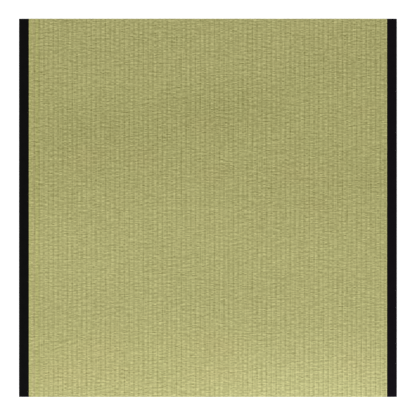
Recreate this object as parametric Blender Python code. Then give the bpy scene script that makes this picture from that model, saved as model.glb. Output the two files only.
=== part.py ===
"""A half-size tatami mat: a rush face woven in long ribs over a thick flat mat, with a dark cloth border
wrapped round each of its two long sides.

Metres, +Z up. The origin is the middle of the underside, on the surface that the mat lies on. X runs
across the mat from one border to the other, and Y runs along the ribs and the borders.
"""

import math

import bmesh
import bpy

# Driving sizes of the whole mat
WIDTH = 0.910
LENGTH = 0.910
HEIGHT = 0.055

# The woven rush. FIRST_VALLEY is the x of the valley nearest the left border. The rush is pulled tight over
# the mat's ends, where only END_SLACK of the ribs' depth is left
RIB_PITCH = 0.01142
RIB_DEPTH = 0.0012
FIRST_VALLEY = -0.4297
STEPS_PER_RIB = 4
END_RADIUS = 0.003
END_SLACK = 0.2

# The cloth borders. BORDER_PROUD is how far the cloth stands above the crests of the ribs beside it
BORDER_WIDTH = 0.0236
BORDER_CLOTH = 0.0013
BORDER_PROUD = 0.0006
BORDER_FOLD = 0.0005
SIDE_RADIUS = 0.002
SEAT_GAP = 0.0003

# How finely the round stretches are cut into flat ones
TOP_ARC_STEPS = 3
BOTTOM_ARC_STEPS = 2
SIDE_ARC_STEPS = 3

# Sizes that follow from those above. Sinks are measured down and in from the crests of the ribs
RUSH_HEIGHT = HEIGHT - BORDER_PROUD
RUSH_HALF_LENGTH = LENGTH / 2 - BORDER_PROUD
BORDER_EDGE = WIDTH / 2 - BORDER_WIDTH
RUSH_EDGE = BORDER_EDGE - SEAT_GAP
SIDE_ROUND_START = WIDTH / 2 - SIDE_RADIUS
SEAT_DEPTH = BORDER_CLOTH + SEAT_GAP
SEAT_SINK = SEAT_DEPTH - BORDER_PROUD
SEAT_STEP = 0.0001

# Two points nearer than this are one
SAME_POINT = 0.000001
SHARP_ANGLE = math.radians(40)

# Colours are linear RGB
RUSH_COLOUR = (0.41, 0.40, 0.16)
RUSH_ROUGHNESS = 0.55
BORDER_COLOUR = (0.006, 0.006, 0.006)
BORDER_ROUGHNESS = 0.85


def clear_scene():
    for old in list(bpy.data.objects):
        bpy.data.objects.remove(old)


def cloth_material(name, colour, roughness):
    material = bpy.data.materials.new(name)
    material.use_nodes = True
    shader = material.node_tree.nodes["Principled BSDF"]
    shader.inputs["Base Color"].default_value = (*colour, 1.0)
    shader.inputs["Roughness"].default_value = roughness
    shader.inputs["Metallic"].default_value = 0.0
    return material


def end_profile(sink, end_sink, floor):
    """The outline of one end of the mat as (distance from the middle, height), from top to underside.

    sink draws the top in from the crests of the ribs, end_sink draws the end face in, and floor lifts the
    underside.
    """
    straight = RUSH_HALF_LENGTH - END_RADIUS
    points = []
    for step in range(TOP_ARC_STEPS + 1):
        share = step / TOP_ARC_STEPS
        angle = math.pi / 2 * (1 - share)
        radius = END_RADIUS - sink - (end_sink - sink) * share
        height = RUSH_HEIGHT - END_RADIUS + radius * math.sin(angle)
        points.append((straight + radius * math.cos(angle), height))
    for step in range(BOTTOM_ARC_STEPS + 1):
        angle = math.pi / 2 * step / BOTTOM_ARC_STEPS
        along = straight + (END_RADIUS - end_sink) * math.cos(angle)
        points.append((along, END_RADIUS - (END_RADIUS - floor) * math.sin(angle)))
    return points


def ring(bm, x, sink, end_sink, floor):
    """One closed loop of points round the mat at x: over the top, down both ends and along the underside."""
    half = end_profile(sink, end_sink, floor)
    far_end = [(x, along, height) for along, height in half]
    near_end = [(x, -along, height) for along, height in reversed(half)]
    return [bm.verts.new(point) for point in far_end + near_end]


def skin(bm, rings):
    """Faces from each ring to the next."""
    for first, second in zip(rings, rings[1:]):
        for i in range(len(first)):
            j = (i + 1) % len(first)
            bm.faces.new((first[i], first[j], second[j], second[i]))


def solid_object(name, bm, material):
    bmesh.ops.remove_doubles(bm, verts=bm.verts, dist=SAME_POINT)
    bmesh.ops.recalc_face_normals(bm, faces=bm.faces)
    mesh = bpy.data.meshes.new(name)
    bm.to_mesh(mesh)
    bm.free()
    mesh.shade_smooth()
    mesh.set_sharp_from_angle(angle=SHARP_ANGLE)
    mesh.materials.append(material)
    made = bpy.data.objects.new(name, mesh)
    bpy.context.scene.collection.objects.link(made)
    return made


def side_round(radius):
    """Each step round the mat's long edge: how far out it lies, and how far its ring is drawn in."""
    for step in range(SIDE_ARC_STEPS + 1):
        angle = math.pi / 2 * step / SIDE_ARC_STEPS
        yield radius * math.sin(angle), radius * (1 - math.cos(angle))


def rib_sink(x):
    """How deep the weave lies under the crests at x. A rib is one arch, and two meet in a valley."""
    arch = abs(math.sin(math.pi * (x - FIRST_VALLEY) / RIB_PITCH))
    return RIB_DEPTH * (1 - arch)


def rib_places():
    """The x of each step across the rush that shows, from the left border to the right."""
    step = RIB_PITCH / STEPS_PER_RIB
    place = FIRST_VALLEY - RIB_PITCH
    places = [-RUSH_EDGE]
    while place < RUSH_EDGE - SEAT_STEP:
        if place > SEAT_STEP - RUSH_EDGE:
            places.append(place)
        place += step
    places.append(RUSH_EDGE)
    return places


def rush_mat(material):
    """The rush in its ribs, over the top and down the ends, with the thickness of the mat that it covers.

    Under the borders the rush is pressed flat, and the whole edge is drawn in to seat the cloth.
    """
    bm = bmesh.new()
    seat = [(RUSH_EDGE + SEAT_STEP, SEAT_SINK, SEAT_DEPTH)]
    for out, drawn_in in side_round(SIDE_RADIUS - SEAT_DEPTH):
        seat.append((SIDE_ROUND_START + out, SEAT_SINK + drawn_in, SEAT_DEPTH + drawn_in))
    rings = [ring(bm, -x, sink, sink, floor) for x, sink, floor in reversed(seat)]
    rings += [ring(bm, x, rib_sink(x), END_SLACK * rib_sink(x), 0.0) for x in rib_places()]
    rings += [ring(bm, x, sink, sink, floor) for x, sink, floor in seat]
    skin(bm, rings)
    bm.faces.new(rings[0])
    bm.faces.new(rings[-1])
    return solid_object("rush_mat", bm, material)


def cloth_ring(bm, x, drawn_in, depth):
    """A ring of the border's cloth at x, drawn in all round. depth is 0 on its face."""
    sink = depth + drawn_in - BORDER_PROUD
    return ring(bm, x, sink, sink, depth + drawn_in)


def border(name, side, material):
    """One border: a strip of cloth folded at its inner edge and wrapped over the mat's long edge, down its
    side and both corners, and under it. side is 1 on the right and -1 on the left.
    """
    bm = bmesh.new()
    outside = [
        cloth_ring(bm, side * BORDER_EDGE, BORDER_FOLD, 0.0),
        cloth_ring(bm, side * (BORDER_EDGE + BORDER_FOLD), 0.0, 0.0),
    ]
    for out, drawn_in in side_round(SIDE_RADIUS):
        outside.append(cloth_ring(bm, side * (SIDE_ROUND_START + out), drawn_in, 0.0))
    back = [cloth_ring(bm, side * BORDER_EDGE, 0.0, BORDER_CLOTH)]
    for out, drawn_in in side_round(SIDE_RADIUS - BORDER_CLOTH):
        back.append(cloth_ring(bm, side * (SIDE_ROUND_START + out), drawn_in, BORDER_CLOTH))
    skin(bm, outside)
    skin(bm, back)
    skin(bm, [outside[0], back[0]])
    bm.faces.new(outside[-1])
    bm.faces.new(back[-1])
    return solid_object(name, bm, material)


def build():
    clear_scene()
    rush = cloth_material("woven_rush", RUSH_COLOUR, RUSH_ROUGHNESS)
    cloth = cloth_material("border_cloth", BORDER_COLOUR, BORDER_ROUGHNESS)
    rush_mat(rush)
    border("border_left", -1, cloth)
    border("border_right", 1, cloth)


build()
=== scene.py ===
"""Dresses the half-size tatami mat: rush woven in long ribs over a thick mat, and a black cloth border folded
over each of its two long sides. It is seen from straight above.
"""

import bisect
import math
import random

import bmesh
import bpy
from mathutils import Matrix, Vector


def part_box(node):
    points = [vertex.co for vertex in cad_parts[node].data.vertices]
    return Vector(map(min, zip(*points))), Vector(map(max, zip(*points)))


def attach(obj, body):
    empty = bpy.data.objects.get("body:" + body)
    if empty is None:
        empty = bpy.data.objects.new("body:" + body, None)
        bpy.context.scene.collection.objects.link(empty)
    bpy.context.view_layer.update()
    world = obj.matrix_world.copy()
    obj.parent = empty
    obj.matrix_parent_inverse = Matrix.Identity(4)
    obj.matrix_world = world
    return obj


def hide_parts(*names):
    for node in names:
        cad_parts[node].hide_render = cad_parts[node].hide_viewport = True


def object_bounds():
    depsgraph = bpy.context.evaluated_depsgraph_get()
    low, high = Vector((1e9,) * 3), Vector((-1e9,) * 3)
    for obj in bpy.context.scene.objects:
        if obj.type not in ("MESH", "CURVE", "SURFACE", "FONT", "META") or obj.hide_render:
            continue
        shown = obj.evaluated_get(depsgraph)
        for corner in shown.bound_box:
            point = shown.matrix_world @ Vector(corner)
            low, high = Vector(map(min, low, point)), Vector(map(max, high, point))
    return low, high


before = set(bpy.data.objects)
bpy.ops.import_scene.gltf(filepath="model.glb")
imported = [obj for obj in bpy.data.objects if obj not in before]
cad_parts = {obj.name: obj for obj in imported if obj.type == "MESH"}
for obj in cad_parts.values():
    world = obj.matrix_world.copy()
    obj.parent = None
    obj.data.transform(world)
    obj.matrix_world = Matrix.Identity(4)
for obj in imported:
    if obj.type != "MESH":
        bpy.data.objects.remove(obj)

CAD_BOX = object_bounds()
MAT_WIDTH = CAD_BOX[1][0] - CAD_BOX[0][0]
MAT_LENGTH = CAD_BOX[1][1] - CAD_BOX[0][1]
MAT_HEIGHT = CAD_BOX[1][2]
RUSH_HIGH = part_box("rush_mat")[1]
LEFT_LOW, LEFT_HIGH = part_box("border_left")
RIGHT_LOW, RIGHT_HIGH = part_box("border_right")

# The rush, in metres. A rib is one arch of strands between two rows of warp thread. FIRST_VALLEY is the x
# where the first whole rib starts. RIB_COUNT counts the part of a rib beside each border too, and the left
# one is pressed level at FIRST_RIB_LEVEL
RIB_PITCH = 0.01141
RIB_DEPTH = 0.0012
FIRST_VALLEY = -0.4290
RIB_COUNT = 77
RIB_COLUMNS = 4
RUSH_HEIGHT = RUSH_HIGH[2]
FIRST_RIB_LEVEL = RUSH_HEIGHT - RIB_DEPTH / 4

# The mat's ends. The rush turns down there, where only END_SLACK of the ribs' depth is left
END_PROUD = 0.0008
RUSH_HALF_LENGTH = MAT_LENGTH / 2 + END_PROUD
END_RADIUS = 0.003
END_ROUND_STEPS = 3
END_ROWS = 12
END_SLACK = 0.2
TOP_ROWS = 134
HEM_WIDTH = 0.060
TURN_START = RUSH_HALF_LENGTH - END_RADIUS
TURN_HEIGHT = RUSH_HEIGHT - END_RADIUS

# The strands bunch in their rib like a string of beads. At a joint a bead sinks by JOINT_SINK of its rise
STRAND = 0.00262
BEAD = 0.0103
BEAD_UNEVENNESS = 0.20
BEAD_RISE = 0.0005
JOINT_SINK = 0.5
BEAD_SEED = 11

# How uneven the rush is: the size of a swelling and its height. Beside a border only EDGE_SHARE of it is left
STRAND_SWELL = (0.0065, 0.0004)
FILLING_SWELL = (0.11, 0.0012)
EDGE_SHARE = 0.25

# The border cloth, in metres. Its inner edge is folded in, and the mat's edge is pressed flat under it
BORDER_WIDER = 0.00015
BORDER_EDGE = RIGHT_LOW[0] - BORDER_WIDER
BORDER_SEAM = 0.0003
BORDER_CLOTH = 0.0005
BORDER_FOLD = 0.0004
FOLD_STEPS = 4
BORDER_HEM = 0.009
BORDER_END_PROUD = 0.0005
BORDER_CUTS = 90
SIDE_RADIUS = 0.0015
SIDE_ROUND_STEPS = 4
RUSH_EDGE = BORDER_EDGE - BORDER_SEAM
PRESSED_IN = 0.0018

# The axes across and along the cloth on a face, by the axis that the face looks along
CLOTH_AXES = ((2, 1), (0, 2), (0, 1))

# Two points nearer than this are one, and a face whose normal points lower than this faces down
NEAR = 0.00001
FACING_DOWN = -0.9


# Working in edit mode
def nothing_selected():
    if bpy.context.mode != "OBJECT":
        bpy.ops.object.mode_set(mode="OBJECT")
    bpy.ops.object.select_all(action="DESELECT")


def pick(piece, test, kind="VERT"):
    """Leaves selected, in edit mode, just the points, edges or faces whose place passes the test."""
    bpy.ops.mesh.select_mode(type=kind)
    bpy.ops.mesh.select_all(action="DESELECT")
    shape = bmesh.from_edit_mesh(piece.data)
    if kind == "VERT":
        for point in shape.verts:
            point.select_set(test(point.co))
    elif kind == "EDGE":
        for edge in shape.edges:
            edge.select_set(all(test(point.co) for point in edge.verts))
    else:
        for face in shape.faces:
            face.select_set(test(face.calc_center_median()))
    shape.select_flush_mode()
    bmesh.update_edit_mesh(piece.data)


def pick_edges(piece, test):
    """Leaves selected, in edit mode, just the edges whose two ends pass the test together."""
    bpy.ops.mesh.select_mode(type="EDGE")
    bpy.ops.mesh.select_all(action="DESELECT")
    shape = bmesh.from_edit_mesh(piece.data)
    for edge in shape.edges:
        edge.select_set(test(edge.verts[0].co, edge.verts[1].co))
    bmesh.update_edit_mesh(piece.data)


def apply_modifiers(piece):
    nothing_selected()
    bpy.context.view_layer.objects.active = piece
    piece.select_set(True)
    for modifier in list(piece.modifiers):
        bpy.ops.object.modifier_apply(modifier=modifier.name)


def extrude_by(x, y, z):
    bpy.ops.mesh.extrude_region_move(TRANSFORM_OT_translate={"value": (x, y, z)})


def face_outwards():
    """Turns all normals of the piece in edit mode outwards, and leaves edit mode."""
    bpy.ops.mesh.select_all(action="SELECT")
    bpy.ops.mesh.normals_make_consistent(inside=False)
    bpy.ops.object.mode_set(mode="OBJECT")


# The woven rush
def rib_strip():
    """One rib, from valley to valley, from the middle of the mat to where it starts to turn down."""
    nothing_selected()
    bpy.ops.mesh.primitive_grid_add(x_subdivisions=RIB_COLUMNS, y_subdivisions=TOP_ROWS, size=1)
    strip = bpy.context.active_object
    strip.name = "rush_weave"
    bpy.ops.object.mode_set(mode="EDIT")
    bpy.ops.mesh.select_all(action="SELECT")
    bpy.ops.transform.resize(value=(RIB_PITCH, TURN_START, 1))
    middle = (FIRST_VALLEY - RIB_PITCH / 2, TURN_START / 2, RUSH_HEIGHT - RIB_DEPTH)
    bpy.ops.transform.translate(value=middle)
    for column in range(1, RIB_COLUMNS):
        x = FIRST_VALLEY - RIB_PITCH + RIB_PITCH * column / RIB_COLUMNS
        pick(strip, lambda place: abs(place.x - x) < NEAR)
        rise = RIB_DEPTH * math.sin(math.pi * column / RIB_COLUMNS)
        bpy.ops.transform.translate(value=(0, 0, rise))
    bpy.ops.object.mode_set(mode="OBJECT")
    return strip


def set_ribs_side_by_side(rush):
    ribs = rush.modifiers.new("ribs", "ARRAY")
    ribs.count = RIB_COUNT
    ribs.use_relative_offset = False
    ribs.use_constant_offset = True
    ribs.constant_offset_displace = (RIB_PITCH, 0, 0)
    ribs.use_merge_vertices = True
    ribs.merge_threshold = NEAR
    apply_modifiers(rush)
    bpy.ops.object.mode_set(mode="EDIT")
    for side in (-1, 1):
        bpy.ops.mesh.select_all(action="SELECT")
        bpy.ops.mesh.bisect(plane_co=(side * RUSH_EDGE, 0, 0), plane_no=(side, 0, 0), clear_outer=True)
    pick(rush, lambda place: place.x < FIRST_VALLEY + NEAR)
    bpy.ops.transform.resize(value=(1, 1, 0), center_override=(0, 0, FIRST_RIB_LEVEL))


def spin_down(height):
    """Turns the open end of the weave through a right angle round a line at this height."""
    centre = (0, TURN_START, height)
    bpy.ops.mesh.spin(steps=END_ROUND_STEPS, angle=math.pi / 2, center=centre, axis=(1, 0, 0))


def turn_down_the_end(rush):
    """The weave goes round the mat's end, down its face and under it, where it lies flat."""
    pick(rush, lambda place: place.y > TURN_START - NEAR)
    spin_down(TURN_HEIGHT)
    for _ in range(END_ROWS):
        extrude_by(0, 0, -(RUSH_HEIGHT - 2 * END_RADIUS) / END_ROWS)
    spin_down(END_RADIUS)
    pull_tight_over_the_end(rush)
    bpy.ops.transform.resize(value=(1, 1, 0), center_override=(0, 0, 0))
    extrude_by(0, END_RADIUS - HEM_WIDTH, 0)
    extrude_by(0, HEM_WIDTH - RUSH_HALF_LENGTH, 0)
    bpy.ops.object.mode_set(mode="OBJECT")
    halves = rush.modifiers.new("both_ends", "MIRROR")
    halves.use_axis = (False, True, False)
    halves.merge_threshold = NEAR
    apply_modifiers(rush)


def slack(y, z):
    """How much of the ribs' depth is left: all of it on the top, and little where the end pulls tight."""
    if abs(y) <= TURN_START + NEAR and z > END_RADIUS:
        return 1.0
    if z < TURN_HEIGHT:
        return END_SLACK
    over = math.atan2(abs(y) - TURN_START, z - TURN_HEIGHT) / (math.pi / 2)
    return 1.0 - (1.0 - END_SLACK) * over


def pull_tight_over_the_end(rush):
    """The rush is drawn tight over the edge, so its valleys come up nearly level with the crests."""
    shape = bmesh.from_edit_mesh(rush.data)
    for point in shape.verts:
        if point.co.y <= TURN_START + NEAR:
            continue
        level = min(max(point.co.z, END_RADIUS), TURN_HEIGHT)
        out = point.co.y - TURN_START
        up = point.co.z - level
        radius = math.hypot(out, up)
        wanted = END_RADIUS - (END_RADIUS - radius) * slack(point.co.y, point.co.z)
        point.co.y = TURN_START + out * wanted / radius
        point.co.z = level + up * wanted / radius
    bmesh.update_edit_mesh(rush.data)


def press_flat_under_the_borders(rush):
    bpy.ops.object.mode_set(mode="EDIT")
    seat_top = RUSH_HEIGHT - PRESSED_IN
    squeeze = (seat_top - PRESSED_IN) / RUSH_HEIGHT
    level = PRESSED_IN / (1 - squeeze)
    shorten = (RUSH_HALF_LENGTH - PRESSED_IN) / RUSH_HALF_LENGTH
    for side in (-1, 1):
        pick(rush, lambda place: side * place.x > RUSH_EDGE - NEAR, "EDGE")
        bpy.ops.mesh.mark_sharp()
        extrude_by(side * BORDER_SEAM / 2, 0, 0)
        bpy.ops.transform.resize(value=(1, shorten, squeeze), center_override=(0, 0, level))
        extrude_by(side * (MAT_WIDTH / 2 - PRESSED_IN - RUSH_EDGE), 0, 0)
        bpy.ops.mesh.edge_face_add()
    face_outwards()


def path_along_warp(y, z):
    """How far a point lies from the middle of the mat, along the weave over the end and under it."""
    quarter = END_RADIUS * math.pi / 2
    upright = RUSH_HEIGHT - 2 * END_RADIUS
    if z > TURN_HEIGHT:
        if y <= TURN_START:
            return y
        return TURN_START + END_RADIUS * math.atan2(y - TURN_START, z - TURN_HEIGHT)
    if z >= END_RADIUS:
        return TURN_START + quarter + TURN_HEIGHT - z
    if y > TURN_START:
        return TURN_START + quarter + upright + END_RADIUS * math.atan2(END_RADIUS - z, y - TURN_START)
    return TURN_START + 2 * quarter + upright + TURN_START - y


def bead_runs():
    """For each rib, where one bead ends and the next begins, from hem to hem. No two ribs are in step."""
    chance = random.Random(BEAD_SEED)
    reach = path_along_warp(0, 0)
    runs = []
    for _ in range(RIB_COUNT + 2):
        run = [-reach - BEAD * chance.random()]
        while run[-1] < reach:
            run.append(run[-1] + BEAD * chance.uniform(1 - BEAD_UNEVENNESS, 1 + BEAD_UNEVENNESS))
        runs.append(run)
    return runs


def run_of_rib(runs, rib):
    """The run of beads in this rib. The part of a rib beside the left border is number -1."""
    return runs[min(max(rib + 1, 0), len(runs) - 1)]


def bead_place(run, along):
    """The number of the bead here along a rib, with how far through the bead it is as its fraction."""
    number = min(max(bisect.bisect_right(run, along) - 1, 0), len(run) - 2)
    return number + (along - run[number]) / (run[number + 1] - run[number])


def map_along_warp(rush, runs):
    """Two UV maps: across the mat and along the warp in metres, and the same two in ribs and beads."""
    weave = rush.data.uv_layers.new(name="weave")
    beads = rush.data.uv_layers.new(name="beads")
    for face in rush.data.polygons:
        end = 1 if face.center.y >= 0 else -1
        rib = math.floor((face.center.x - FIRST_VALLEY) / RIB_PITCH)
        run = run_of_rib(runs, rib)
        for loop in face.loop_indices:
            place = rush.data.vertices[rush.data.loops[loop].vertex_index].co
            along = end * path_along_warp(abs(place.y), place.z)
            weave.data[loop].uv = (place.x, along)
            beads.data[loop].uv = ((place.x - FIRST_VALLEY) / RIB_PITCH, bead_place(run, along))


def raise_beads(rush, runs):
    """Each bead stands proud of the joints before and after it, most on the crest of its rib."""
    moved = []
    for point in rush.data.vertices:
        ribs = (point.co.x - FIRST_VALLEY) / RIB_PITCH
        rib = math.floor(ribs + NEAR)
        crest = math.sin(math.pi * (ribs - rib))
        along = math.copysign(path_along_warp(abs(point.co.y), point.co.z), point.co.y)
        through = bead_place(run_of_rib(runs, rib), along) % 1.0
        shown = point.co.z > END_RADIUS and abs(point.co.x) < RUSH_EDGE - NEAR
        rise = BEAD_RISE * crest * (math.sin(math.pi * through) - JOINT_SINK) if shown else 0.0
        rise *= slack(point.co.y, point.co.z)
        moved.append(point.co + point.normal * rise)
    for point, place in zip(rush.data.vertices, moved):
        point.co = place


def rush_unevenness(rush):
    """Strands of unequal thickness make the ribs swell and thin, and the mat is never quite flat."""
    shown = rush.vertex_groups.new(name="shown")
    for point in rush.data.vertices:
        inside = RUSH_EDGE - abs(point.co.x)
        if point.co.z > END_RADIUS and inside > -NEAR:
            share = min(1.0, EDGE_SHARE + inside / RIB_PITCH) * slack(point.co.y, point.co.z)
            shown.add([point.index], share, "REPLACE")
    for name, (size, height) in (("strand_thickness", STRAND_SWELL), ("settled_filling", FILLING_SWELL)):
        texture = bpy.data.textures.new(name, "CLOUDS")
        texture.noise_scale = size
        texture.noise_depth = 1
        bumps = rush.modifiers.new(name, "DISPLACE")
        bumps.texture = texture
        bumps.texture_coords = "LOCAL"
        bumps.direction = "NORMAL"
        bumps.mid_level = 0.5
        bumps.strength = height
        bumps.vertex_group = shown.name
    apply_modifiers(rush)


def woven_rush():
    rush = rib_strip()
    set_ribs_side_by_side(rush)
    turn_down_the_end(rush)
    press_flat_under_the_borders(rush)
    runs = bead_runs()
    map_along_warp(rush, runs)
    raise_beads(rush, runs)
    rush_unevenness(rush)
    rush.data.shade_smooth()
    return rush


# The border cloth
def block_in_place(name, low, high):
    """A block as large as the border and a little longer than the mat."""
    nothing_selected()
    size = [high[axis] - low[axis] for axis in range(3)]
    size[1] += 2 * BORDER_END_PROUD
    middle = [(high[axis] + low[axis]) / 2 for axis in range(3)]
    bpy.ops.mesh.primitive_cube_add(size=1, location=middle)
    block = bpy.context.active_object
    block.name = name
    bpy.ops.object.mode_set(mode="EDIT")
    bpy.ops.mesh.select_all(action="SELECT")
    bpy.ops.transform.resize(value=size)
    bpy.ops.object.mode_set(mode="OBJECT")
    bpy.ops.object.transform_apply(location=True, rotation=True, scale=True)
    return block


def border_cloth(name, side, low, high):
    """A strip of cloth over the mat's long edge, down its side, round both corners and under it."""
    cloth = block_in_place(name, low, high)
    inner = side * RIGHT_LOW[0]
    rim = side * (BORDER_EDGE + BORDER_FOLD)
    bpy.ops.object.mode_set(mode="EDIT")
    pick(cloth, lambda place: abs(place.x - inner) < NEAR, "FACE")
    bpy.ops.mesh.delete(type="FACE")
    pick(cloth, lambda place: abs(place.x - inner) < NEAR)
    bpy.ops.transform.translate(value=(rim - inner, 0, 0))
    pick_edges(cloth, lambda first, second: max(abs(first.x - rim), abs(second.x - rim)) >= NEAR)
    bpy.ops.mesh.bevel(offset=SIDE_RADIUS, segments=SIDE_ROUND_STEPS, affect="EDGES")
    fold_rim_in(cloth, side, rim)
    pick_edges(cloth, lambda first, second: abs(first.y - second.y) > MAT_LENGTH / 2)
    bpy.ops.mesh.subdivide(number_cuts=BORDER_CUTS)
    bpy.ops.object.mode_set(mode="OBJECT")
    return cloth


def fold_rim_in(cloth, side, rim):
    """The rim rolls over inwards through a half turn and lies flat under the cloth as a hem."""
    pick(cloth, lambda place: abs(place.x - rim) < NEAR, "EDGE")
    turned = 0.0
    for step in range(1, FOLD_STEPS + 1):
        angle = math.pi * step / FOLD_STEPS
        out = BORDER_FOLD * (math.sin(angle) - math.sin(turned))
        down = BORDER_FOLD * (math.cos(turned) - math.cos(angle))
        extrude_by(-side * out, 0, 0)
        shape = bmesh.from_edit_mesh(cloth.data)
        chosen = [point.co for point in shape.verts if point.select]
        reach = max(place.y for place in chosen)
        top = max(place.z for place in chosen)
        bottom = min(place.z for place in chosen)
        squeeze = (1, (reach - down) / reach, (top - bottom - 2 * down) / (top - bottom))
        bpy.ops.transform.resize(value=squeeze, center_override=(0, 0, (top + bottom) / 2))
        turned = angle
    extrude_by(side * BORDER_HEM, 0, 0)


def finish_cloth(cloth):
    wall = cloth.modifiers.new("cloth", "SOLIDIFY")
    wall.thickness = BORDER_CLOTH
    wall.offset = -1
    bpy.ops.object.mode_set(mode="EDIT")
    face_outwards()
    apply_modifiers(cloth)
    cloth.data.shade_smooth()


def map_cloth(cloth):
    """Lays the UV map out in metres, each face straight on to the axis that it faces most."""
    layer = cloth.data.uv_layers.new(name="weave")
    for face in cloth.data.polygons:
        facing = [abs(part) for part in face.normal]
        across, along = CLOTH_AXES[facing.index(max(facing))]
        for loop in face.loop_indices:
            place = cloth.data.vertices[cloth.data.loops[loop].vertex_index].co
            layer.data[loop].uv = (place[across], place[along])


# Materials
class Nodes:
    """Adds nodes to one material, with plain numbers or other nodes' outputs as their inputs."""

    def __init__(self, name):
        self.material = bpy.data.materials.new(name)
        self.material.use_nodes = True
        self.tree = self.material.node_tree
        self.shader = self.tree.nodes["Principled BSDF"]

    def feed(self, socket, value):
        if isinstance(value, bpy.types.NodeSocket):
            self.tree.links.new(value, socket)
        else:
            socket.default_value = value

    def math(self, operation, first, second=0.0, third=0.0):
        node = self.tree.nodes.new("ShaderNodeMath")
        node.operation = operation
        for socket, value in zip(node.inputs, (first, second, third)):
            self.feed(socket, value)
        return node.outputs[0]

    def vector(self, x, y, z=0.0):
        node = self.tree.nodes.new("ShaderNodeCombineXYZ")
        for socket, value in zip(node.inputs, (x, y, z)):
            self.feed(socket, value)
        return node.outputs[0]

    def map_parts(self, name):
        node = self.tree.nodes.new("ShaderNodeUVMap")
        node.uv_map = name
        parts = self.tree.nodes.new("ShaderNodeSeparateXYZ")
        self.tree.links.new(node.outputs[0], parts.inputs[0])
        return parts.outputs[0], parts.outputs[1]

    def chance(self, x, y, z=0.0):
        """A number from 0 to 1 that is the same all over one whole-numbered place and changes at the next."""
        node = self.tree.nodes.new("ShaderNodeTexWhiteNoise")
        node.noise_dimensions = "3D"
        self.tree.links.new(self.vector(x, y, z), node.inputs["Vector"])
        return node.outputs["Value"]

    def noise(self, x, y, scale=1.0, detail=2.0):
        node = self.tree.nodes.new("ShaderNodeTexNoise")
        self.tree.links.new(self.vector(x, y), node.inputs["Vector"])
        node.inputs["Scale"].default_value = scale
        node.inputs["Detail"].default_value = detail
        return node.outputs[0]

    def blend(self, share, first, second):
        node = self.tree.nodes.new("ShaderNodeMix")
        node.data_type = "RGBA"
        self.feed(node.inputs["Factor"], share)
        self.feed(node.inputs["A"], first)
        self.feed(node.inputs["B"], second)
        return node.outputs["Result"]

    def product(self, first, second):
        node = self.tree.nodes.new("ShaderNodeVectorMath")
        node.operation = "MULTIPLY"
        self.feed(node.inputs[0], first)
        self.feed(node.inputs[1], second)
        return node.outputs[0]

    def smooth(self, value, start, end, at_start, at_end):
        """Eases from at_start to at_end as the value goes from start to end, and stays there past either."""
        node = self.tree.nodes.new("ShaderNodeMapRange")
        node.interpolation_type = "SMOOTHSTEP"
        for socket, part in zip(node.inputs, (value, start, end, at_start, at_end)):
            self.feed(socket, part)
        return node.outputs[0]

    def column(self, ribs, to_one_rib, shift=0.5):
        """The number of the column that a place is in, with so many columns to one rib."""
        return self.math("FLOOR", self.math("MULTIPLY_ADD", ribs, to_one_rib, shift))

    def hump(self, count):
        """Rises from 0 to 1 and falls back between each whole number and the next."""
        return self.math("SINE", self.math("MULTIPLY", self.math("FRACT", count), math.pi))

    def crossing(self, across, along, thread):
        """Plain weave, from -1 to 1: threads one way go over and under those the other way."""
        warp = self.math("SINE", self.math("MULTIPLY", across, 2 * math.pi / thread))
        weft = self.math("SINE", self.math("MULTIPLY", along, 2 * math.pi / thread))
        return self.math("MULTIPLY", warp, weft)

    def add_shade(self, light, pattern, middle, amount):
        """The light with a pattern's shade added, which is nothing where the pattern is at its middle."""
        return self.math("MULTIPLY_ADD", self.math("SUBTRACT", pattern, middle), amount, light)

    def surface(self, colour, roughness, gloss):
        self.feed(self.shader.inputs["Base Color"], colour)
        self.shader.inputs["Roughness"].default_value = roughness
        self.shader.inputs["Specular IOR Level"].default_value = gloss

    def bump(self, height, distance):
        node = self.tree.nodes.new("ShaderNodeBump")
        node.inputs["Distance"].default_value = distance
        node.inputs["Strength"].default_value = 1.0
        self.feed(node.inputs["Height"], height)
        self.tree.links.new(node.outputs[0], self.shader.inputs["Normal"])


# Colours are linear RGB. The rush lies between a deep colour and a pale one, and the tints multiply it
RUSH_DEEP = (0.227, 0.2175, 0.0542, 1.0)
RUSH_PALE = (0.651, 0.632, 0.2750, 1.0)
RUSH_MIDDLE = 0.535
RUSH_ROUGHNESS = 0.52
RUSH_GLOSS = 0.25
PLAIN = (1.0, 1.0, 1.0, 1.0)
TINT_GREEN = (0.993, 1.003, 0.987, 1.0)
TINT_STRAW = (1.005, 0.997, 0.987, 1.0)
TINT_BROWN = (1.018, 0.979, 1.006, 1.0)
TINT_LEAF = (0.988, 1.005, 0.890, 1.0)
TINT_FAR = (1.005, 0.997, 1.013, 1.0)
TINT_NEAR = (1.003, 0.999, 0.974, 1.0)
TINT_FADED = (1.013, 0.987, 0.992, 1.0)
HUE_SCALE = 11.0
HUE_DETAIL = 3.0
HUE_RANGE = (0.25, 0.75)

# Where a tint sets in and where it is full: along the mat, and across it for the near left area
FAR_TINT = (0.26, 0.37)
NEAR_TINT = (-0.24, -0.34)
LEFT_TINT = (0.22, -0.05)

# The first ribs beside the left border: middle in ribs, and tint. Then how far a tint is full, and its end
TINTED_RIBS = (
    (0.10, TINT_LEAF),
    (0.85, TINT_BROWN),
    (1.55, TINT_LEAF),
)
TINTED_RIB_REACH = (0.20, 0.50)

# The near half is lighter, painted light from the near end: where it sets in and is full, by how much, and
# how the line between them waves
NEAR_PAINTED_LIGHT = (0.10, -0.09)
NEAR_PAINTED_LIGHT_AMOUNT = 0.078
NEAR_LIGHT_WAVE_TURN = 4.5
NEAR_LIGHT_WAVE_REACH = 0.012

# Sizes of the weave's patterns along the mat, in metres
JOG_ROW = 0.0013
DRIFT_LENGTH = 0.012
STREAK_LENGTH = 0.075

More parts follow.
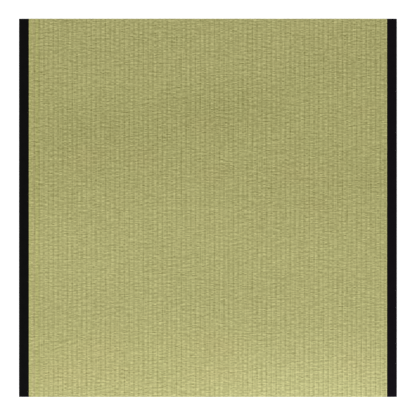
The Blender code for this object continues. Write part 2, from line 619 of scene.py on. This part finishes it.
# How far the line between two columns of strands jogs, as a share of a column, and how long a long strand is,
# in ribs. A strand bows by STRAND_BOW of its width over the crest of its rib, and it is a bunch of stems
JOG_REACH = 0.3
LONG_STRAND_RIBS = 1.8
STRAND_BOW = 0.35
STEMS_TO_STRAND = 2.0

# A stem is STEM_HEIGHT high in metres, times STEM_HEIGHT_LEAST and by chance up to STEM_HEIGHT_MORE on top
STEM_HEIGHT = 0.0004
STEM_HEIGHT_LEAST = 0.6
STEM_HEIGHT_MORE = 0.5

# How many strands one column may be ahead of the next, and how far apart two columns read a noise
STRAND_STARTS = 9.0
LONG_STRAND_STARTS = 20.0
DRIFT_APART = 5.7
STREAK_APART = 7.3

# A number of its own for each pattern that is drawn by chance
LONG_START_DRAW = 2.0
BEAD_DRAW = 3.0
START_DRAW = 5.0
LONG_STRAND_DRAW = 7.0
FIBRE_DRAW = 9.0
STEM_DRAW = 13.0
JOG_DRAW = 17.0

# The middle of each pattern, which leaves the rush as light as it is
CHANCE_MIDDLE = 0.5
STEM_GAP_MIDDLE = 0.2
BEAD_CROWN_MIDDLE = 0.64
BEAD_JOINT_MIDDLE = 0.22

# How much each pattern lightens the rush at its most, or darkens it where the number is negative
STRAND_SHADE = 0.385
NEXT_STRAND_SHADE = -0.21
FIBRE_SHADE = 0.19
LONG_STRAND_SHADE = 0.19
NEXT_LONG_STRAND_SHADE = -0.18
STEM_SHADE = 0.08
STEM_GAP_SHADE = -0.14
# The next two are painted light on the crown of each bead and painted shade at its joints
BEAD_CROWN_PAINTED_LIGHT = 0.08
BEAD_JOINT_PAINTED_SHADE = -0.105
BEAD_SHADE = 0.03
STREAK_SHADE = 0.45
NEXT_STREAK_SHADE = -0.17
# The next two are painted shade in the valleys between the ribs
VALLEY_PAINTED_SHADE = -0.189
VALLEY_LINE_PAINTED_SHADE = -0.045
# The next two are painted light beside the borders
BORDER_SIDE_PAINTED_LIGHT = 0.11
RIGHT_SIDE_PAINTED_LIGHT = 0.08

# How narrow each dark line is: the higher the power, the narrower
STEM_GAP_POWER = 4.0
BEAD_JOINT_POWER = 2.0
VALLEY_POWER = 2.0
VALLEY_LINE_POWER = 6.0

# The share of the grain left in the valleys, over how much of the first rib the valleys' painted shade sets
# in, and how far in metres the painted light beside the borders reaches
VALLEY_GRAIN = 0.75
FIRST_RIB_EASE = 0.6
BORDER_SIDE_REACH = 0.005
RIGHT_SIDE_REACH = 0.006

# Soft patches of painted light and shade: middle across and along the mat, reach each way, and how light
LIGHT_AND_SHADE_PATCHES = (
    (-0.38, -0.12, 0.34, 0.15, 0.034),
    (-0.22, 0.19, 0.28, 0.10, -0.048),
    (0.06, 0.25, 0.28, 0.10, -0.060),
    (0.40, 0.09, 0.18, 0.08, -0.030),
    (0.38, 0.37, 0.26, 0.13, -0.034),
    (0.00, 0.20, 0.24, 0.08, -0.022),
    (-0.11, 0.02, 0.26, 0.08, 0.026),
    (-0.33, 0.17, 0.14, 0.10, -0.014),
    (0.26, -0.04, 0.26, 0.10, -0.020),
    (0.06, -0.22, 0.34, 0.14, -0.027),
    (-0.14, -0.42, 0.26, 0.10, -0.032),
    (0.31, -0.45, 0.48, 0.19, 0.074),
)

# Where the ribs stand out more: middle across and along the mat, reach each way, and how strong the sheen is.
# It is a bright line on the slope of each rib that faces the window, and deeper shade in the valleys.
# SHEEN_LINE says where in a rib the line lies, as a share of its width
SHEEN = (0.34, -0.42, 0.36, 0.22, 0.13)
DEEPER_VALLEY = 3.0
SHEEN_LINE = 0.18
SHEEN_LINE_REACH = 0.30
SHEEN_LINE_SHADE = 0.75
BESIDE_LINE_SHADE = -0.20

# Small patches where the rush has faded to brown: middle across and along the mat, and reach each way
FADED = (
    (-0.30, 0.12, 0.10, 0.05),
    (-0.15, 0.12, 0.07, 0.05),
    (-0.01, 0.20, 0.10, 0.04),
    (0.01, 0.08, 0.07, 0.04),
    (0.22, 0.08, 0.13, 0.05),
    (0.26, 0.005, 0.07, 0.04),
    (0.37, 0.235, 0.05, 0.04),
    (-0.27, -0.34, 0.11, 0.05),
    (0.03, -0.33, 0.12, 0.05),
    (0.02, -0.40, 0.10, 0.03),
    (-0.32, -0.40, 0.18, 0.05),
    (0.36, -0.38, 0.09, 0.06),
)

# The plain backing under the mat. Its thread and its bump are in metres
BACKING_DARK = (0.42, 0.36, 0.21, 1)
BACKING_LIGHT = (0.52, 0.46, 0.30, 1)
BACKING_THREAD = 0.003
BACKING_CONTRAST = 0.25
BACKING_BUMP = 0.0002
BACKING_ROUGHNESS = 0.8
BACKING_GLOSS = 0.5

# The border cloth. Its thread, its bump and how far the painted shade of a fold reaches are in metres
BORDER_THREAD = 0.0009
BORDER_CONTRAST = 0.5
BORDER_BUMP = 0.00015
BORDER_ROUGHNESS = 0.85
BORDER_GLOSS = 0.05
BORDER_WEAR_SCALE = 60.0
# Painted shade along the folds of the cloth: its colour, then its reach and strength
PAINTED_FOLD_SHADE = (0.0003, 0.0003, 0.0003, 1.0)
FOLD_REACH = 0.0025
FOLD_SHADE = 0.8
LEFT_BLACK = (0.0032, 0.0032, 0.0031, 1.0)
LEFT_GREY = (0.0056, 0.0055, 0.0053, 1.0)
RIGHT_BLACK = (0.0042, 0.0030, 0.0047, 1.0)
RIGHT_GREY = (0.0066, 0.0050, 0.0072, 1.0)


def patch(make, across, along, x, y, reach_across, reach_along, strength):
    """A soft round patch: its strength at its middle, and nothing past its reach."""
    sideways = make.math("DIVIDE", make.math("SUBTRACT", across, x), reach_across)
    lengthways = make.math("DIVIDE", make.math("SUBTRACT", along, y), reach_along)
    apart = make.math("MULTIPLY_ADD", sideways, sideways, make.math("MULTIPLY", lengthways, lengthways))
    return make.smooth(make.math("SQRT", apart), 0.0, 1.0, strength, 0.0)


def painted_light_and_shade_by_area(make, across, along):
    """How much lighter the rush is by area, in painted light and shade: the near half is lit lighter, and
    there are soft patches.
    """
    turned = make.math("SINE", make.math("MULTIPLY", across, NEAR_LIGHT_WAVE_TURN))
    wave = make.math("MULTIPLY", turned, NEAR_LIGHT_WAVE_REACH)
    tone = make.smooth(make.math("ADD", along, wave), *NEAR_PAINTED_LIGHT, 0.0, NEAR_PAINTED_LIGHT_AMOUNT)
    for place in LIGHT_AND_SHADE_PATCHES:
        tone = make.math("ADD", tone, patch(make, across, along, *place))
    return tone


def rush_tint(make, across, along, ribs):
    """The rush is greener or browner by area, and by rib beside the left border."""
    hue = make.noise(across, along, HUE_SCALE, HUE_DETAIL)
    tint = make.blend(make.smooth(hue, *HUE_RANGE, 0.0, 1.0), TINT_GREEN, TINT_STRAW)
    tint = make.product(tint, make.blend(make.smooth(along, *FAR_TINT, 0.0, 1.0), PLAIN, TINT_FAR))
    near = make.smooth(along, *NEAR_TINT, 0.0, 1.0)
    near_left = make.math("MULTIPLY", near, make.smooth(across, *LEFT_TINT, 0.0, 1.0))
    tint = make.product(tint, make.blend(near_left, PLAIN, TINT_NEAR))
    faded = 0.0
    for place in FADED:
        faded = make.math("ADD", faded, patch(make, across, along, *place, 1.0))
    tint = make.product(tint, make.blend(faded, PLAIN, TINT_FADED))
    for middle, colour in TINTED_RIBS:
        away = make.math("ABSOLUTE", make.math("SUBTRACT", ribs, middle))
        tint = make.blend(make.smooth(away, *TINTED_RIB_REACH, 1.0, 0.0), tint, colour)
    return tint


def count_strands(make, ribs, along, crest):
    """The half rib that a place is in, and how many strands lie before it there. They bow, drift and jog."""
    row = make.math("FLOOR", make.math("DIVIDE", along, JOG_ROW))
    jog = make.chance(row, make.math("FLOOR", ribs), JOG_DRAW)
    half = make.column(ribs, 2.0, make.math("MULTIPLY_ADD", jog, JOG_REACH, (1 - JOG_REACH) / 2))
    start = make.math("MULTIPLY", make.chance(half, START_DRAW), STRAND_STARTS)
    drift = make.noise(make.math("MULTIPLY", half, DRIFT_APART), make.math("DIVIDE", along, DRIFT_LENGTH))
    strands = make.math("ADD", make.math("DIVIDE", along, STRAND), make.math("ADD", start, drift))
    return half, make.math("MULTIPLY_ADD", crest, STRAND_BOW, strands)


def long_strand(make, ribs, row):
    """The shade of the strand that lies here in its row, where one strand runs across about two ribs."""
    stretch = make.math("DIVIDE", ribs, LONG_STRAND_RIBS)
    stretch = make.math("MULTIPLY_ADD", make.chance(row, LONG_START_DRAW), LONG_STRAND_STARTS, stretch)
    return make.chance(make.math("FLOOR", stretch), row, LONG_STRAND_DRAW)


def strand_light(make, ribs, along, half, strands):
    """Strands across half a rib and long ones, both darker beside a light one, and fibres across a third."""
    strand = make.math("FLOOR", strands)
    row = make.math("FLOOR", make.math("DIVIDE", along, STRAND))
    light = 0.0
    for shade, amount in (
        (make.chance(half, strand), STRAND_SHADE),
        (make.chance(half, make.math("ADD", strand, 1.0)), NEXT_STRAND_SHADE),
        (make.chance(make.column(ribs, 3.0), strand, FIBRE_DRAW), FIBRE_SHADE),
        (long_strand(make, ribs, row), LONG_STRAND_SHADE),
        (long_strand(make, ribs, make.math("ADD", row, 1.0)), NEXT_LONG_STRAND_SHADE),
    ):
        light = make.add_shade(light, shade, CHANCE_MIDDLE, amount)
    return light


def bead_tone_and_painted_light(make, ribs, beads):
    """A bead of strands has painted light at its crown and painted shade at its joints, and by chance a tone
    of its own.
    """
    crown = make.hump(beads)
    joint = make.math("POWER", make.math("SUBTRACT", 1.0, crown), BEAD_JOINT_POWER)
    bead_shade = make.chance(make.math("FLOOR", ribs), make.math("FLOOR", beads), BEAD_DRAW)
    light = make.add_shade(0.0, crown, BEAD_CROWN_MIDDLE, BEAD_CROWN_PAINTED_LIGHT)
    light = make.add_shade(light, joint, BEAD_JOINT_MIDDLE, BEAD_JOINT_PAINTED_SHADE)
    return make.add_shade(light, bead_shade, CHANCE_MIDDLE, BEAD_SHADE)


def add_streaks(make, light, ribs, along):
    """Streaks along the mat, each a quarter of a rib wide, and darker beside a light one."""
    quarter = make.column(ribs, 4.0)
    down = make.math("DIVIDE", along, STREAK_LENGTH)
    for further, amount in ((0.0, STREAK_SHADE), (STREAK_APART, NEXT_STREAK_SHADE)):
        streak = make.noise(make.math("MULTIPLY_ADD", quarter, STREAK_APART, further), down)
        light = make.add_shade(light, streak, CHANCE_MIDDLE, amount)
    return light


def valley_painted_shade(make, crest):
    """Painted shade in the valleys between the ribs, with a darker line at the bottom where the warp thread
    lies.
    """
    below_crest = make.math("SUBTRACT", 1.0, crest)
    valley = make.math("MULTIPLY", make.math("POWER", below_crest, VALLEY_POWER), VALLEY_PAINTED_SHADE)
    line = make.math("POWER", below_crest, VALLEY_LINE_POWER)
    return make.math("MULTIPLY_ADD", line, VALLEY_LINE_PAINTED_SHADE, valley)


def painted_light_beside_borders(make, across):
    """Painted light on the rush just beside the borders, against the shade they cast, and most beside the
    right one.
    """
    to_border = make.math("SUBTRACT", RUSH_EDGE, make.math("ABSOLUTE", across))
    beside = make.smooth(to_border, 0.0, BORDER_SIDE_REACH, BORDER_SIDE_PAINTED_LIGHT, 0.0)
    right = make.smooth(across, RUSH_EDGE - RIGHT_SIDE_REACH, RUSH_EDGE, 0.0, RIGHT_SIDE_PAINTED_LIGHT)
    return make.math("ADD", beside, right)


def sheen_light(make, across, along, ribs, valley):
    """In the area of the sheen, the bright line on each rib and the deeper valleys."""
    turned = make.math("FRACT", make.math("ADD", ribs, 0.5 - SHEEN_LINE))
    from_line = make.math("ABSOLUTE", make.math("SUBTRACT", turned, 0.5))
    line = make.smooth(from_line, 0.0, SHEEN_LINE_REACH, SHEEN_LINE_SHADE, BESIDE_LINE_SHADE)
    slope = make.math("MULTIPLY_ADD", valley, DEEPER_VALLEY, line)
    return make.math("MULTIPLY", slope, patch(make, across, along, *SHEEN))


def rush_finish():
    """Dried rush: strands lie across each rib in bunches, with painted shade that leaves the crests bright
    and the valleys dark.
    """
    make = Nodes("woven_rush")
    across, along = make.map_parts("weave")
    ribs, beads = make.map_parts("beads")
    crest = make.hump(ribs)
    half, strands = count_strands(make, ribs, along, crest)
    stems = make.math("MULTIPLY", strands, STEMS_TO_STRAND)
    stem_shade = make.chance(half, make.math("FLOOR", stems), STEM_DRAW)
    from_stem = make.math("ABSOLUTE", make.math("MULTIPLY_ADD", make.math("FRACT", stems), 2.0, -1.0))

    light = strand_light(make, ribs, along, half, strands)
    light = make.add_shade(light, stem_shade, CHANCE_MIDDLE, STEM_SHADE)
    stem_gap = make.math("POWER", from_stem, STEM_GAP_POWER)
    light = make.add_shade(light, stem_gap, STEM_GAP_MIDDLE, STEM_GAP_SHADE)
    light = make.math("MULTIPLY", light, make.math("MULTIPLY_ADD", crest, 1 - VALLEY_GRAIN, VALLEY_GRAIN))
    # Beads, with their painted light and shade, show on the crests of the ribs
    light = make.math("MULTIPLY_ADD", bead_tone_and_painted_light(make, ribs, beads), crest, light)
    light = add_streaks(make, light, ribs, along)
    # Painted shade in the valleys, eased in over the first rib beside the left border
    valley = valley_painted_shade(make, crest)
    light = make.math("MULTIPLY_ADD", valley, make.smooth(ribs, 0.0, FIRST_RIB_EASE, 0.0, 1.0), light)
    # Painted light beside the borders
    light = make.math("ADD", light, painted_light_beside_borders(make, across))
    light = make.math("ADD", light, sheen_light(make, across, along, ribs, valley))
    # Painted light and shade by area
    light = make.math("ADD", light, painted_light_and_shade_by_area(make, across, along))
    light = make.math("ADD", light, RUSH_MIDDLE)
    colour = make.product(make.blend(light, RUSH_DEEP, RUSH_PALE), rush_tint(make, across, along, ribs))
    make.surface(colour, RUSH_ROUGHNESS, RUSH_GLOSS)

    round_stem = make.math("SUBTRACT", 1.0, make.math("MULTIPLY", from_stem, from_stem))
    thickness = make.math("MULTIPLY_ADD", stem_shade, STEM_HEIGHT_MORE, STEM_HEIGHT_LEAST)
    make.bump(make.math("MULTIPLY", round_stem, thickness), STEM_HEIGHT)
    return make.material


def backing_finish():
    """The plain woven backing between the two turned-under hems."""
    make = Nodes("mat_backing")
    crossing = make.crossing(*make.map_parts("weave"), BACKING_THREAD)
    share = make.math("MULTIPLY_ADD", crossing, BACKING_CONTRAST, 0.5)
    make.surface(make.blend(share, BACKING_DARK, BACKING_LIGHT), BACKING_ROUGHNESS, BACKING_GLOSS)
    make.bump(crossing, BACKING_BUMP)
    return make.material


def distance_to_fold(make):
    """How far a place on the cloth is from the nearest fold: its rim, or a long or short edge of the mat."""
    parts = make.tree.nodes.new("ShaderNodeSeparateXYZ")
    make.feed(parts.inputs[0], make.tree.nodes.new("ShaderNodeTexCoord").outputs["Object"])
    across = make.math("ABSOLUTE", parts.outputs[0])
    to_side = make.math("SUBTRACT", MAT_WIDTH / 2, across)
    to_end = make.math("SUBTRACT", MAT_LENGTH / 2, make.math("ABSOLUTE", parts.outputs[1]))
    to_face = make.math("MINIMUM", parts.outputs[2], make.math("SUBTRACT", MAT_HEIGHT, parts.outputs[2]))
    nearest = make.math("SUBTRACT", across, BORDER_EDGE)
    for first, second in ((to_side, to_face), (to_end, to_face), (to_side, to_end)):
        nearest = make.math("MINIMUM", nearest, make.math("ADD", first, second))
    return nearest


def border_finish(name, black, grey):
    """Matt black cloth in a fine plain weave, with painted shade darkening it along its folds."""
    make = Nodes(name)
    across, along = make.map_parts("weave")
    crossing = make.crossing(across, along, BORDER_THREAD)
    wear = make.noise(across, along, BORDER_WEAR_SCALE)
    colour = make.blend(make.math("MULTIPLY_ADD", crossing, BORDER_CONTRAST, wear), black, grey)
    fold_shade = make.smooth(distance_to_fold(make), 0.0, FOLD_REACH, FOLD_SHADE, 0.0)
    make.surface(make.blend(fold_shade, colour, PAINTED_FOLD_SHADE), BORDER_ROUGHNESS, BORDER_GLOSS)
    make.bump(crossing, BORDER_BUMP)
    return make.material


# Building the pieces
rush = woven_rush()
rush.data.materials.append(rush_finish())
rush.data.materials.append(backing_finish())
for face in rush.data.polygons:
    under = face.normal.z < FACING_DOWN and abs(face.center.y) < RUSH_HALF_LENGTH - HEM_WIDTH
    face.material_index = 1 if under else 0
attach(rush, "root")
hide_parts("rush_mat")

for name, node, side, low, high, black, grey in (
    ("left_border_cloth", "border_left", -1, LEFT_LOW, LEFT_HIGH, LEFT_BLACK, LEFT_GREY),
    ("right_border_cloth", "border_right", 1, RIGHT_LOW, RIGHT_HIGH, RIGHT_BLACK, RIGHT_GREY),
):
    cloth = border_cloth(name, side, low, high)
    finish_cloth(cloth)
    map_cloth(cloth)
    cloth.data.materials.append(border_finish(name, black, grey))
    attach(cloth, "root")
    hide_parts(node)


# Floor, light and camera
FLOOR_SIDE = 40
FLOOR_DROP = 0.0002
FLOOR_COLOUR = (0.35, 0.35, 0.35, 1)
FLOOR_GLOW = 0.85
WHITE = (1, 1, 1, 1)
SKY_STRENGTH = 0.53

# The window: strength, place, turn in degrees and how wide it looks in degrees
WINDOW_STRENGTH = 1.40
WINDOW_PLACE = (-2, 0, 3)
WINDOW_TURN = (0, -8, 0)
WINDOW_WIDTH = 25

# A long bluish lamp over the near end: watts, place, size and colour
NEAR_LAMP_WATTS = 0.71
NEAR_LAMP_PLACE = (0.16, -0.55, 0.26)
NEAR_LAMP_SIZE = (1.3, 0.10)
NEAR_LAMP_COLOUR = (0.93, 0.95, 1.38)

# The photo's side and the mat's side in it, in pixels. The camera is off the mat's middle by PHOTO_OFFSET
# in metres. Its lens and its sensor are in millimetres, and it sees as far as SEEN_TO in metres
PHOTO_SIDE = 416
MAT_SIDE_IN_PHOTO = 377.98
PHOTO_OFFSET = (0.0002, -0.0004)
LENS = 200.0
SENSOR = 36.0
SEEN_TO = 50


def floor():
    """A pale floor that glows, so it is as white as in the photo and shows no shadow."""
    nothing_selected()
    bpy.ops.mesh.primitive_plane_add(size=FLOOR_SIDE)
    ground = bpy.context.active_object
    ground.name = "floor"
    ground.location.z = -FLOOR_DROP
    make = Nodes("pale_floor")
    make.surface(FLOOR_COLOUR, 1.0, 0.0)
    make.shader.inputs["Emission Color"].default_value = WHITE
    make.shader.inputs["Emission Strength"].default_value = FLOOR_GLOW
    ground.data.materials.append(make.material)


def hang_lamp(name, kind, strength, place, turn=(0, 0, 0)):
    lamp = bpy.data.lights.new(name, kind)
    lamp.energy = strength
    holder = bpy.data.objects.new(name, lamp)
    holder.location = place
    holder.rotation_euler = [math.radians(part) for part in turn]
    bpy.context.scene.collection.objects.link(holder)
    return lamp


def studio():
    world = bpy.data.worlds.new("studio")
    world.use_nodes = True
    world.node_tree.nodes["Background"].inputs["Color"].default_value = WHITE
    world.node_tree.nodes["Background"].inputs["Strength"].default_value = SKY_STRENGTH
    bpy.context.scene.world = world
    window = hang_lamp("window_side", "SUN", WINDOW_STRENGTH, WINDOW_PLACE, WINDOW_TURN)
    window.angle = math.radians(WINDOW_WIDTH)
    near = hang_lamp("near_side", "AREA", NEAR_LAMP_WATTS, NEAR_LAMP_PLACE)
    near.shape = "RECTANGLE"
    near.size, near.size_y = NEAR_LAMP_SIZE
    near.color = NEAR_LAMP_COLOUR
    bpy.context.scene.view_settings.view_transform = "Standard"


def camera():
    seen = bpy.data.cameras.new("above")
    seen.lens = LENS
    seen.sensor_width = SENSOR
    seen.clip_end = SEEN_TO
    holder = bpy.data.objects.new("above", seen)
    outline_height = MAT_HEIGHT - SIDE_RADIUS
    frame_width = MAT_WIDTH * PHOTO_SIDE / MAT_SIDE_IN_PHOTO
    holder.location = (*PHOTO_OFFSET, outline_height + frame_width * LENS / SENSOR)
    bpy.context.scene.collection.objects.link(holder)
    bpy.context.scene.camera = holder


floor()
studio()
camera()
